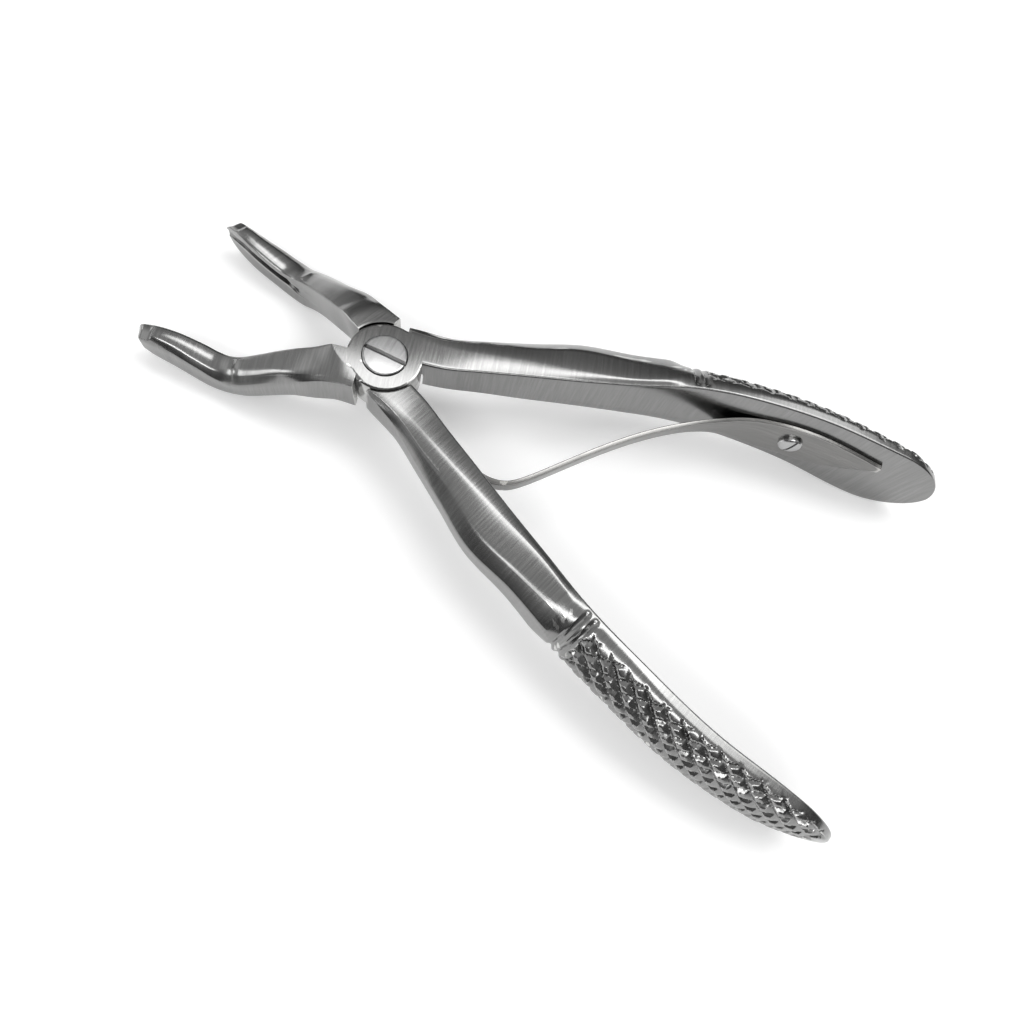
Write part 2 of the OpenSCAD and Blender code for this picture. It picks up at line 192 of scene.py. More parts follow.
def finishPiece(piece, angle=24):
    # cleaned, smoothed up to the given angle and brought from millimetres to metres
    shape = bmesh.new()
    shape.from_mesh(piece.data)
    bmesh.ops.remove_doubles(shape, verts=shape.verts, dist=0.002)
    bmesh.ops.dissolve_degenerate(shape, edges=shape.edges, dist=0.001)
    for face in shape.faces:
        face.smooth = True
    for edge in shape.edges:
        edge.smooth = len(edge.link_faces) == 2 and edge.calc_face_angle(0) < math.radians(angle)
    shape.to_mesh(piece.data)
    shape.free()
    piece.data.transform(Matrix.Scale(mm, 4))


# the handles; a station is share of length, inner offset, depth, middle height, half height, fullness of
# the crown, end of the top's flat, end of its slope, fall of the slope, half height of the outer side
handle = {
    "length": 87.3,
    "palmHeight": 15.0,
    "endRound": 0.62,      # the end is rounded over this share of the palm's height
    "edge": 0.3,
    "innerFall": 0.07,     # the neck's top falls this much to its inner edge
    "crestRise": 0.15,     # and rises this much to its crest
    "ridgeSoft": 0.5,      # the ridge beside the facet is rounded over this width
    "ringAt": 43.0,        # where neck turns into palm
    "wedgeFrom": 24,       # where the palm's own inner face starts, as a wedge
    "wedgeLong": 36,
    "wedgeDeep": 0.3,
    "neckRings": 56,       # rings of the loft over the neck
    "gripStep": 0.17,      # and their distance over the grip
    "endRings": 16,
    "stations": [
        (0.025, 0.25, 5.36, 3.0, 3.0, 6, 4.45, 4.9, 0.04, 2.91),
        (0.06, 0.25, 5.59, 3.0, 3.0, 5, 3.8, 4.73, 0.06, 2.34),
        (0.1, 0.43, 5.76, 3.0, 3.0, 4, 3.5, 4.79, 0.14, 1.86),
        (0.16, 1.32, 6.21, 3.03, 3.21, 3, 3.0, 5.0, 0.24, 1.59),
        (0.23, 2.28, 6.83, 3.09, 3.57, 2.4, 2.5, 4.9, 0.32, 1.5),
        (0.31, 3.4, 7.5, 3.18, 3.81, 2, 1.75, 5.45, 0.45, 1.59),
        (0.4, 4.62, 6.45, 3.42, 4.35, 2, 1.05, 4.2, 0.5, 2.25),
        (0.5, 6.07, 5.88, 3.51, 5.4, 1.8, 1.2, 3.0, 0.6, 2.7),
        (0.6, 6.53, 5.6, 3.29, 6.15, 1.75, 1.2, 3.0, 0.6, 2.7),
        (0.74, 6.26, 5.21, 2.04, 6.98, 1.75, 1.2, 3.0, 0.6, 2.7),
        (0.87, 4.7, 4.48, 0.82, 7.5, 1.8, 1.2, 3.0, 0.6, 2.7),
        (1.0, 3.2, 2.24, -0.2, 7.05, 1.9, 1.2, 3.0, 0.6, 2.7),
    ],
}

# the checkering is cut by two crossing rows of V grooves
grip = {
    "length": 3.25,        # of one diamond, along the handle
    "width": 2.45,
    "deep": 0.62,
    "deepCross": 0.52,
    "share": 0.34,         # half width of a groove, as a share of its spacing
    "shareCross": 0.3,
    "borderAt": (45.0, 2.9),       # place and width of the border at its two ends
    "borderEnd": (84.0, 1.3),
    "flatBorder": 1.0,     # this much of the border lies flat, less near the rings
    "flatFrom": 45.0,
    "start": 45.9,
    "end": 84.6,
    "rings": (43.7, 45.1),
    "ringWidth": 0.62,
    "ringDeep": 0.34,
    "ringLean": 0.05,      # the rings run this much aslant round the crown
    "beadAfter": 0.72,     # one bead stands between the rings and one this far after them
    "beadWidth": 0.45,
    "beadHigh": 0.07,
}


def crownDrop(x, y):
    # how far the ground flats lie below the joint's full thickness
    return joint["crown"] * (y - joint["crownShift"] * ramp((x - 1) / 8)) ** 2


def corner(h, r, wide=1.0, n=6):
    # the rounded inner top corner, from the inner face to the top
    turns = [math.radians(90 * i / n) for i in range(n + 1)]
    return [(r * wide * (1 - math.cos(a)), h - r + r * math.sin(a)) for a in turns]


def innerDrop(share):
    # how far the top falls from its crest line to the inner edge
    return handle["innerFall"] * ramp((share - 0.08) / 0.07)


def crestRise(share):
    return handle["crestRise"] * ramp((share - 0.09) / 0.08)


def neckHalf(share, depth, h, r):
    # upper half of the neck's outline: flat, slope, rounded ridge, hollow facet, outer side
    flat, line, fall, side = (at(handle["stations"], share, c) for c in (6, 7, 8, 9))
    low, high = innerDrop(share), crestRise(share)
    top = [(r + (flat - r) * i / 12, h + high - (low + high) * (1 - i / 12) ** 2) for i in range(1, 13)]
    slope = [(flat + (line - flat) * i / 9, h + high - (fall + high) * (i / 9) ** 1.35) for i in range(1, 9)]
    ridge, band = (line, h - fall), (depth - 0.08, side)
    hollow = (line + (depth - line) * 0.52, h - fall - (h - fall - side) * 0.43)
    soft = min(handle["ridgeSoft"], (depth - line) * 0.4)
    curve = bend(ridge, hollow, band, 16)
    away = math.dist(curve[0], curve[1])
    before = (ridge[0] - soft, h + high - (fall + high) * (1 - soft / (line - flat)) ** 1.35)
    after = tuple(ridge[k] + (curve[1][k] - ridge[k]) / away * soft for k in range(2))
    turn = bend(before, ridge, after, 5)
    lip = bend(curve[-2], band, (depth - 0.05, side * 0.9), 4)
    wall = [(depth - 0.05 * (1 - i / 6) ** 2, side * 0.9 * (1 - i / 6)) for i in range(1, 7)]
    return top + slope + turn + curve[2:-2] + lip + wall


def borderWide(x):
    # how wide the border beside the checkering is
    (near, wide), (far, narrow) = grip["borderAt"], grip["borderEnd"]
    return wide + (narrow - wide) * min(max((x - near) / (far - near), 0), 1)


def palmHalf(share, depth, h, r, n):
    # a flat border along the inner edge, then the round of the palm
    power = 2 / at(handle["stations"], share, 5)
    grown = ramp((share * handle["length"] - grip["flatFrom"]) / 16)
    flat = min(grip["flatBorder"] * (0.3 + 0.7 * grown), depth * 0.35)
    arc = [(r, h), (r + flat * 0.5, h)]
    for i in range(91):
        a = math.radians(i)
        arc.append((r + flat + (depth - r - flat) * math.sin(a) ** power, h * max(math.cos(a), 0) ** power))
    return evenly(arc, n + 1)[1:]


def palmRound(x):
    # how the palm's height runs out round its end
    reach = handle["palmHeight"] * handle["endRound"]
    past = max(x - handle["length"] + reach, 0) / reach
    return math.sqrt(max(1 - past * past, 0.0004))


# no two grooves are cut quite as deep
jitter = random.Random(7)
wobble = [jitter.uniform(0.8, 1.1) for i in range(96)]


def hump(t):
    # 1 at t = 0, running out smoothly at 1
    return (math.cos(math.pi * t) + 1) / 2


def rowCut(place, share, deep, fade, shift=0):
    # depth in one row of V grooves, which lie at the whole numbers
    row = round(place)
    groove = max(1 - abs(place - row) / share, 0.0)
    return deep * (groove - fade) * wobble[(row + shift) % len(wobble)]


def gripCut(x, around, edge):
    # depth of the cuts at x; around is the distance from the crown's middle, edge that from the inner edge
    first, second = grip["rings"]
    cut = 0.0
    for place in grip["rings"]:
        t = abs(x - place - grip["ringLean"] * around) / grip["ringWidth"]
        if t < 1:
            cut = max(cut, grip["ringDeep"] * hump(t) * ramp((edge - 0.5) / 0.9))
    for place in (0.5 * (first + second), second + grip["beadAfter"]):
        t = abs(x - place - grip["ringLean"] * around) / grip["beadWidth"]
        if t < 1:
            cut -= grip["beadHigh"] * hump(t) * ramp((edge - 0.7) / 0.9)
    # the grooves fade out towards the border, the rings and the end
    border = (borderWide(x) - edge) / 1.5 + 0.6
    fade = max(border, (grip["start"] - x) + 0.6, (x - grip["end"]) / 1.4 + 0.6, 0)
    if fade >= 1:
        return cut
    a = x / grip["length"] + around / grip["width"]
    b = x / grip["length"] - around / grip["width"]
    one = rowCut(a, grip["share"], grip["deep"], fade)
    two = rowCut(b, grip["shareCross"], grip["deepCross"], fade, 40)
    return max(cut, one, two)


def innerSet(x, t):
    # the palm's own inner face starts as a wedge along the top edge and takes over from the neck's
    # t runs from 0 at the lower edge to 1 at the upper one
    start = min(max((x - handle["wedgeFrom"]) / handle["wedgeLong"], 0), 1)
    if start in (0, 1):
        return 0.0
    line = 1 - start ** 0.9
    return -handle["wedgeDeep"] * math.sin(math.pi * start) * max(line - t, 0) / max(line, 0.2)


def handleRing(x):
    # one ring across the handle: over the top, down the outer side, back under and up the inner face
    share, f = x / handle["length"], palmRound(x)
    y, z = at(handle["stations"], share, 1), at(handle["stations"], share, 3)
    depth = at(handle["stations"], share, 2) * (0.3 + 0.7 * f)
    h = at(handle["stations"], share, 4) * f
    r = min(handle["edge"], h * 0.5, depth * 0.3)
    w = ramp((x - handle["ringAt"] + 3.2) / 4.2)      # 0 on the neck, 1 on the palm
    fall = at(handle["stations"], share, 8)
    neck = neckHalf(share, depth, h, r)
    palm = palmHalf(share, depth, h, r, len(neck))
    half = corner(h - innerDrop(share) * (1 - w), r)
    half += [tuple(p * (1 - w) + q * w for p, q in zip(a, b)) for a, b in zip(neck, palm)]
    run, last = lengths(half), len(half) - 1
    near = 1 - ramp((x - 7) / 5)      # 1 beside the joint, where the disc's face stays the highest
    upper, lower = [], []
    for i, (out, up) in enumerate(half):
        a, b = half[max(i - 1, 0)], half[min(i + 1, last)]
        dx, dz = (b[0] - a[0], b[1] - a[1]) if i < last else (0.0, -1.0)
        size = math.hypot(dx, dz) or 1
        nx, nz = -dz / size, dx / size
        sunk = near * (joint["under"] + crownDrop(x, y + out) * ramp((up - h + fall + 0.5) / 0.5))
        for side, place in ((1, upper), (-1, lower)):
            cut = gripCut(x, side * (run[-1] - run[i]), run[i]) if x > handle["ringAt"] - 1 else 0.0
            place.append((x, y + out - cut * nx, z + side * (up - cut * nz - sunk)))
    high = half[0][1] - (joint["under"] + crownDrop(x, y)) * near
    low = [(x, y + innerSet(x, i / 12), z - high + 2 * high * i / 12) for i in range(1, 12)]
    return upper + lower[-2::-1] + low


def handleSteps():
    # the rings lie closest over the grip, where they carry the cuts
    x = handle["ringAt"] - 1.2
    steps = spread(handle["length"] * handle["stations"][0][0], x, handle["neckRings"])
    while x < handle["length"] - 3:
        steps.append(x)
        x += handle["gripStep"]
    left, n = handle["length"] - x, handle["endRings"]
    return steps + [x + left * math.sin(math.pi / 2 * i / n) for i in range(n + 1)]


# the beaks; a station is share of length, middle height below the joint's, half height, inner offset,
# thickness, half height of the outer side, end of the top's slope, fall of the slope, depth of the groove
beak = {
    "length": 36.3,
    "start": 0.08,         # share of length; the gap to the other half's handle is the stop's
    "ringsAt": (0.24, 0.55, 0.61),     # the loft's rings change their distance here
    "bendAt": 19.6,
    "bendRise": 0.2,
    "bendWide": 0.45,
    "tipLength": 2.8,
    "tipStep": 0.12,       # the tip starts with a small step
    "tipCut": 0.45,        # the thin tip lies this much lower at its outer side
    "tipDish": 0.35,       # and is scooped between its sides
    "tipSlant": 0.6,       # its lower corner stands back
    "tipRound": 0.9,
    "hollow": 1.6,
    "hollowUp": 1.5,       # the groove lies this much above the inner face's middle
    "edge": 0.26,
    "edgeWide": 2.0,       # the inner top edge is rounded this much wider than high
    "innerFall": 0.12,     # the crown falls this much to its inner edge
    "bandDip": 0.25,       # the outer side's upper edge dips between joint and bend
    "stations": [
        (0.06, 0, 3.0, 0.25, 5.6, 2.91, 5.0, 0.04, 0),
        (0.17, -0.3, 2.98, 0.25, 5.5, 2.5, 4.75, 0.1, 0),
        (0.26, -1.35, 3.2, 0.86, 5.2, 2.2, 4.2, 0.17, 0),
        (0.36, -3.1, 3.05, 1.26, 4.75, 1.75, 3.4, 0.24, 0),
        (0.46, -5.15, 2.85, 1.7, 4.5, 1.4, 2.9, 0.3, 0),
        (0.54, -6.9, 2.8, 1.89, 4.3, 1.35, 2.65, 0.32, 0),
        (0.61, -8.15, 2.98, 1.74, 4.05, 1.5, 2.7, 0.34, 0.3),
        (0.68, -8.45, 3.0, 1.4, 3.9, 1.8, 2.85, 0.34, 1.5),
        (0.76, -8.06, 3.06, 0.9, 3.65, 1.95, 2.65, 0.34, 1.5),
        (0.84, -7.67, 3.15, 0.55, 3.2, 1.95, 2.3, 0.3, 1.2),
        (0.92, -7.3, 2.95, 0.45, 2.7, 1.7, 1.95, 0.25, 0.7),
        (1.0, -6.95, 1.95, 0.42, 2.1, 1.1, 1.4, 0.15, 0.2),
    ],
    # the joint's flat top ends at a crest: degrees off the beak's line, radius of the crest and of its foot
    "lapCrest": [(0, 7.5, 10.0), (6, 7.2, 9.8), (17, 6.3, 9.2), (29, 5.4, 8.6), (42, 4.8, 7.4),
                 (56, 4.8, 6.8), (70, 4.95, 6.2), (90, 5.1, 5.4), (115, 5.17, 5.2), (140, 5.18, 5.2)],
    "shoulderCrest": [(0, 7.2, 11.0), (10, 7.2, 10.8), (22, 7.0, 10.6), (42, 6.8, 10.2),
                      (56, 6.4, 9.6), (75, 6.2, 9.0)],
}


def between(rows, x, column):
    # straight lines through one column of a table
    if x <= rows[0][0]:
        return rows[0][column]
    for a, b in zip(rows, rows[1:]):
        if x <= b[0]:
            return a[column] + (b[column] - a[column]) * (x - a[0]) / (b[0] - a[0])
    return rows[-1][column]


def rootTop(x, y, z, rows, under=joint["under"]):
    # height of the top near the joint: flat inside the crest, then down to the beak's own height
    away, angle = math.hypot(x, y), math.degrees(math.atan2(-y, -x))
    crest, foot = between(rows, max(angle, 0), 1), between(rows, max(angle, 0), 2)
    w = min(max((away - crest) / (foot - crest), 0), 1)
    w = w * (2 - w) if rows is beak["lapCrest"] else ramp(w)
    return z * w + (mid - under - crownDrop(x, y)) * (1 - w)


def beakHalf(s, h, depth, side, line, fall, dig, r):
    # upper half of the beak's outline and which of its points belong to the top
    g = min(beak["hollow"] / 2, h * 0.6)
    crease = beak["bendRise"] * math.exp(-abs(s * beak["length"] - beak["bendAt"]) / beak["bendWide"])
    turns = [math.radians(90 * i / 6) for i in range(1, 7)]
    scoop = [(dig * math.cos(a) ** 0.7, g * math.sin(a)) for a in turns]
    wall = [(0.0, g + (h - r - g) * i / 4) for i in range(1, 4)]
    wide = min(beak["edgeWide"], line * 0.45 / r)
    lip = r * wide
    inner = beak["innerFall"] * ramp((s - 0.2) / 0.08)
    crown = []
    for i in range(1, 16):
        t = i / 16
        crown.append((lip + (line - lip) * i / 16, h - fall * t ** 2.2 - inner * (1 - t) ** 2 + crease))
    bandTop = side - beak["bandDip"] * math.exp(-((s - 0.32) / 0.1) ** 2)
    ridge, band = (line, h - fall + crease), (depth - 0.06, bandTop)
    sag = (line + (depth - line) * 0.56, h - fall - (h - fall - bandTop) * 0.43)
    facet = bend(ridge, sag, band, 14)
    size = math.dist(facet[0], facet[1])
    soft = min(0.6 - 0.35 * ramp((s - 0.55) / 0.08), (depth - line) * 0.4)
    soft = min(soft, (line - lip) * 0.6)
    before = (ridge[0] - soft, h - fall * (1 - soft / (line - lip)) ** 2.2 + crease)
    after = tuple(ridge[k] + (facet[1][k] - ridge[k]) / size * soft for k in range(2))
    turn = bend(before, ridge, after, 8)
    edge = bend(facet[-2], band, (depth - 0.03, bandTop - 0.15), 4)
    outer = [(depth, (bandTop - 0.15) * (1 - i / 4)) for i in range(1, 4)]
    top = corner(h - inner, r, wide)
    crown = [q for q in crown if q[0] < ridge[0] - soft - 0.02]
    facet = [q for q in facet if q[0] > ridge[0] + soft * 0.9 and q[0] < facet[-2][0]]
    crown = evenly([top[-1]] + crown + [turn[0]], 17)[1:-1]
    facet = evenly([turn[-1]] + facet + [edge[0]], 12)[1:-1]
    half = scoop + wall + top + crown + turn + facet + edge + outer
    firstTop, lastTop = len(scoop) + len(wall), len(half) - len(edge) - len(outer) - 4
    return half, [1 if firstTop < i <= lastTop else 0 for i in range(len(half))]


def beakRing(s, lap):
    # one ring across the beak, square to its middle line
    rows, e = beak["stations"], 0.004
    lean = math.atan2(at(rows, s + e, 1) - at(rows, s - e, 1), 2 * e * beak["length"])
    h, y, depth, side, line, fall, dig = (at(rows, s, c) for c in range(2, 9))
    end = max((s - 1) * beak["length"] + beak["tipRound"], 0) / beak["tipRound"]
    depth *= math.sqrt(max(1 - end * end, 0.2))
    h *= 1 - 0.4 * end * end
    line = min(line, depth * 0.75)
    r = min(beak["edge"], depth * 0.3)
    half, kinds = beakHalf(s, h, depth, side, line, fall, dig, r)
    marked = list(zip(half, kinds))
    ring = [((dig, 0.0), 0)] + marked + [((depth, 0.0), 0)]
    ring += [((q[0], -q[1]), -kind) for q, kind in reversed(marked)]
    lift = beak["hollowUp"] * min(dig, 1)
    toTip = (s - 1) * beak["length"] + beak["tipLength"]
    scooped = ramp(toTip / 0.35)
    topRows, footRows = (beak[k] for k in ("lapCrest", "shoulderCrest")[::lap])
    points = []
    for (out, up), kind in ring:
        if out <= dig and abs(up) < h - r:
            up += lift * (1 - abs(up) / (h - r))
        back = beak["tipSlant"] * ramp(toTip / beak["tipLength"]) * max(0.5 - up / h / 2, 0) ** 1.5
        if scooped > 0 and up > 0:
            hollowed = math.sin(math.pi / 2 * min(max(out / depth, 0) * 2, 1))
            sunk = beak["tipStep"] + 0.3 * end * end + beak["tipCut"] * (out / depth)
            sunk += beak["tipDish"] * hollowed * ramp(toTip / 0.9)
            up = min(up, h - scooped * sunk)
        px = -s * beak["length"] + up * math.sin(lean) + back
        py = -y - out
        pz = at(rows, s, 1) + up * math.cos(lean)
        if kind > 0:
            pz = rootTop(px, py, pz, topRows)
        elif kind < 0:
            pz = -rootTop(px, py, -pz, footRows)
        points.append((px, py, mid + pz))
    return points


def beakSteps():
    # the rings lie closest over the root, the bend and the tip
    root, bendFrom, bendTo = beak["ringsAt"]
    tip = 1 - (beak["tipLength"] + 0.3) / beak["length"]
    steps = spread(beak["start"], root, 56) + spread(root, bendFrom, 30)
    steps += spread(bendFrom, bendTo, 20) + spread(bendTo, tip, 30)
    return steps + [tip + (1 - tip) * (1 - (1 - i / 34) ** 1.3) for i in range(35)]


def shown(x, y):
    # 1 where the disc's rim stands free, 0 where the handle or the beak runs into it
    angle = math.degrees(math.atan2(y, x)) % 360
    one = ramp((angle - 64) / 5) * ramp((180 - angle) / 4)
    other = ramp((angle - 243) / 5) * ramp((362 - angle) / 4)
    return max(one, other)


def discTop(x, y, z):
    # the disc's face is ground like the flats, and its rim's bevel shows only where it stands free
    if z < mid + 1:
        return z
    z = joint["thick"] - (joint["thick"] - z) * shown(x, y)
    return z - mid + rootTop(x, y, mid - 0.46, beak["lapCrest"], 0) if y < 0 else z - crownDrop(x, y)


def wellFoot(x, y, z):
    return z + crownDrop(x, y) if -1 < z < 1 else z


def boreTop(x, y, z):
    return z - crownDrop(x, y) if mid + 2 < z < joint["thick"] + 1 else z


def discProfile():
    flat, (wide, high) = joint["thick"], joint["rimBevel"]
    r, low = joint["disc"], mid - 1.5
    top = [(0, flat)] + [(r * i / 26, flat) for i in range(1, 25)]
    rim = [(r - wide - 0.02, flat), (r - wide, flat - 0.002), (r - 0.02, flat - high)]
    return top + rim + [(r, flat - high - 0.04), (r, low), (0, low)]


def wellProfile():
    # the room in which the other half's disc turns
    wrap, (wide, high) = joint["wrap"], joint["rimBevel"]
    under, low, foot = mid + joint["lapGap"] / 2, -joint["cutReach"], wrap + wide + 0.02
    return [(0, under), (wrap, under), (wrap, high + 0.03), (wrap + 0.02, high), (wrap + wide, 0),
            (foot, -0.2), (foot, low), (0, low)]


def boreProfile():
    # the seat of the pivot screw's head and the hole for its shank
    flat, top = joint["thick"], joint["cutReach"]
    seat, hole = joint["headRadius"] + joint["play"], joint["shank"] + joint["play"]
    floor = flat - joint["headSeat"]
    return [(0, top), (seat + 0.1, top), (seat + 0.1, flat + 0.02), (seat, flat - 0.08), (seat, floor),
            (hole, floor), (hole, -5), (0, -5)]


def halfPiece(name, lap):
    # lap is 1 for the upper half and -1 for the lower; the lower one is the same form turned over
    body = makePiece(name, *loft([handleRing(x) for x in handleSteps()]))
    nose = makePiece(name + "Beak", *loft([beakRing(s, lap) for s in beakSteps()]))
    disc = makePiece(name + "Disc", *lathe(discProfile(), 144, discTop))
    well = makePiece(name + "Well", *lathe(wellProfile(), 144, wellFoot))
    if lap < 0:
        for shape in (disc, well):
            shape.data.transform(Matrix.Scale(-1, 4, (0, 0, 1)))
            shape.data.transform(Matrix.Translation((0, 0, joint["thick"])))
            shape.data.flip_normals()
    combine(body, nose, "UNION")
    combine(body, disc, "UNION")
    combine(body, well, "DIFFERENCE")
    if lap > 0:
        bore = makePiece(name + "Bore", *lathe(boreProfile(), 128, boreTop))
        combine(body, bore, "DIFFERENCE")
    else:
        body.data.transform(Matrix.Scale(-1, 4, (0, 1, 0)))
        body.data.flip_normals()
    body.data.transform(Matrix.Rotation(math.radians(lap * halfAngle), 4, "Z"))
    finishPiece(body)
    return body


upperHalf = halfPiece("upperHalf", 1)
lowerHalf = halfPiece("lowerHalf", -1)
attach(upperHalf, "upper_arm")
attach(lowerHalf, "lower_arm")
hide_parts("upper_half")
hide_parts("lower_half")
print("halves forged:", len(upperHalf.data.polygons), len(lowerHalf.data.polygons))


# the pivot screw
pivot = {
    "head": 3.1,
    "seatAt": 4.56,
    "proud": 0.25,
    "dome": 0.07,
    "bevel": 0.16,
    "slotWidth": 0.58,
    "slotDeep": 1.0,
    "slotEdge": 0.05,
    "slotTurn": 4.0,
    "bottom": 0.72,
}


def slotCutter(name, section, reach, turn):
    # a bar of the given section that cuts a screwdriver slot
    return makePiece(name, *loft([[(x, y, z) for y, z in section] for x in (-reach, reach)]), turn=turn)


def pivotScrew():
    top, r, b = joint["thick"] + pivot["proud"], pivot["head"], pivot["bevel"]
    profile = [(0, top + pivot["dome"])]
    for i in range(1, 20):
        t = i / 19
        profile.append(((r - b) * t, top + pivot["dome"] * (1 - t * t)))
    shank, seat, low = joint["shank"], pivot["seatAt"], pivot["bottom"]
    profile += [(r - b * 0.62, top - b * 0.16), (r - b * 0.25, top - b * 0.5), (r, top - b), (r, seat)]
    profile += [(shank, seat), (shank, low), (0, low)]
    screw = makePiece("pivotScrew", *lathe(profile, 128))
    w, deep, edge = pivot["slotWidth"] / 2, top - pivot["slotDeep"], pivot["slotEdge"]
    side = [(w - edge, deep), (w, deep + edge), (w, top - edge), (w + edge, top + 0.02), (w + edge, top + 1)]
    section = [(-y, z) for y, z in reversed(side)] + side
    combine(screw, slotCutter("slot", section, 6, pivot["slotTurn"]), "DIFFERENCE")
    finishPiece(screw, 25)
    return screw


screwPiece = pivotScrew()
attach(screwPiece, "lower_arm")
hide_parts("pivot_screw")
print("pivot screw turned")


# the leaf spring and its screw
leaf = {
    "thick": 0.7,
    "gap": 0.04,
    "wide": 8.0,
    "armWide": 2.4,
    "slant": 0.12,         # the upper edge falls this much to the front
    "height": 1.9,
    "screwAt": 62.5,
    "rootAt": 76.5,
    "liftBefore": 5,       # the leaf leaves the palm this far before its screw
    "bendFrom": 41.0,
    "reach": 19.0,
    "curl": 5.8,
    "curlIn": 50.0,
    "curlOut": 25.0,
    "liftPull": 0.4,
    "landPull": 0.12,
    "bevel": 0.12,
    "strokesTurn": 10.0,
    "headRadius": 1.8,
    "headHeight": 0.9,
    "shank": 0.9,
    "slotWidth": 0.4,
    "slotTurn": 78.0,
}


def innerY(x):
    return at(handle["stations"], x / handle["length"], 1)


def faceSlope(x):
    return math.atan2(innerY(x + 0.5) - innerY(x - 0.5), 1)


def offFace(x, off):
    # the point at x that stands off the inner face
    b = faceSlope(x)
    return (x + off * math.sin(b), innerY(x) - off * math.cos(b))


def leafLine():
    # the leaf's middle line: along the palm, over to the other half, and round the curl
    off = leaf["thick"] / 2 + leaf["gap"]
    o = math.radians(joint["openAngle"])
    centre = offFace(leaf["reach"], leaf["curl"] + off)

    def curl(a):
        a = math.radians(a)
        p = (centre[0] + leaf["curl"] * math.sin(a), centre[1] + leaf["curl"] * math.cos(a))
        return (p[0] * math.cos(o) - p[1] * math.sin(o), -p[0] * math.sin(o) - p[1] * math.cos(o))

    liftAt = leaf["screwAt"] - leaf["liftBefore"]
    lift, land = offFace(liftAt, off), curl(leaf["curlIn"])
    span = math.dist(lift, land)
    b, d = faceSlope(liftAt), math.radians(leaf["curlIn"]) - o
    pull = (lift[0] - leaf["liftPull"] * span * math.cos(b), lift[1] - leaf["liftPull"] * span * math.sin(b))
    push = (land[0] + leaf["landPull"] * span * math.cos(d), land[1] + leaf["landPull"] * span * math.sin(d))
    line = [offFace(x, off) for x in spread(leaf["rootAt"], liftAt, 30)]
    for i in range(70):
        u = i / 69
        v = 1 - u
        near, far = v ** 3, u ** 3
        line.append(tuple(near * a + 3 * u * v * v * b + 3 * u * u * v * c + far * d
                          for a, b, c, d in zip(lift, pull, push, land)))
    whole = leaf["curlIn"] + leaf["curlOut"]
    return line + [curl(leaf["curlIn"] - whole * i / 24) for i in range(1, 25)]


def leafPlan():
    # distance from the pivot, upper edge and lower edge
    w, a, s, root = leaf["wide"], leaf["armWide"], leaf["screwAt"], leaf["rootAt"]
    return [(0, a * 0.7, -a * 0.3), (s - 19, a * 0.6, -a * 0.4), (s - 13, w * 0.25, -w * 0.2),
            (s - 8, w * 0.38, -w * 0.42), (s - 3, w * 0.46, -w * 0.5), (s + 1, w * 0.47, -w * 0.5),
            (s + 5, w * 0.44, -w * 0.46), (root - 5, w * 0.38, -w * 0.25), (root, w * 0.28, w * 0.12)]


def leafSpring():
    line, plan, t, b = leafLine(), leafPlan(), leaf["thick"] / 2, leaf["bevel"]
    rings = []
    for i, (x, y) in enumerate(line):
        before, after = line[max(i - 1, 0)], line[min(i + 1, len(line) - 1)]
        size = math.dist(before, after)
        nx, ny = -(after[1] - before[1]) / size, (after[0] - before[0]) / size
        width = at if x > plan[1][0] else between
        hi, lo = (leaf["height"] + width(plan, x, column) for column in (1, 2))
        front = hi - b - leaf["slant"]
        section = [(-t, hi - b), (-t + b * 0.3, hi - b * 0.3), (-t + b, hi)]
        section += [(t - b, front + b), (t - b * 0.3, front + b * 0.7), (t, front)]
        section += [(t, front + (lo + b - front) * k / 5) for k in range(1, 5)]
        section += [(t, lo + b), (t - b * 0.3, lo + b * 0.3), (t - b, lo)]
        section += [(-t + b, lo), (-t + b * 0.3, lo + b * 0.3), (-t, lo + b)]
        section += [(-t, lo + b + (hi - lo - 2 * b) * k / 5) for k in range(1, 5)]
        rings.append([(x + off * nx, y + off * ny, z) for off, z in section])
    piece = makePiece("leafSpring", *loft(rings), turn=halfAngle)
    finishPiece(piece, 35)
    return piece


def leafScrew():
    r, h, seat = leaf["headRadius"], leaf["headHeight"], leaf["thick"] + 2 * leaf["gap"] + 0.02
    profile = [(0, seat + h)]
    for i in range(1, 14):
        a = math.radians(90 * i / 14)
        profile.append((r * math.sin(a) * 0.96, seat + h * 0.45 + h * 0.55 * math.cos(a)))
    profile += [(r, seat + h * 0.4), (r, seat), (leaf["shank"], seat), (leaf["shank"], -3), (0, -3)]
    screw = makePiece("leafScrew", *lathe(profile, 72))
    w, deep = leaf["slotWidth"] / 2, seat + h * 0.35
    section = [(-w, seat + h + 1), (-w, deep), (w, deep), (w, seat + h + 1)]
    combine(screw, slotCutter("screwSlot", section, 4, leaf["slotTurn"]), "DIFFERENCE")
    x = leaf["screwAt"]
    opened = Matrix.Rotation(math.radians(halfAngle), 4, "Z")
    stand = opened @ Matrix.Translation((x, innerY(x), leaf["height"]))
    lying = Matrix.Rotation(faceSlope(x), 4, "Z") @ Matrix.Rotation(math.radians(90), 4, "X")
    screw.data.transform(stand @ lying)
    finishPiece(screw, 25)
    return screw


leafPiece, leafHead = leafSpring(), leafScrew()


leafRun = leafLine()
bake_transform(leafPiece)
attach(leafHead, "upper_arm")
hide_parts("leaf_spring")
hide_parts("leaf_screw")


# the camera, in metres and degrees
cameraSet = {
    "place": (0.02595, -0.04264, 0.09127),
    "elevation": 69.67,
    "roll": 28.99,
    "turn": -0.119,
    "lens": 24.112,
}


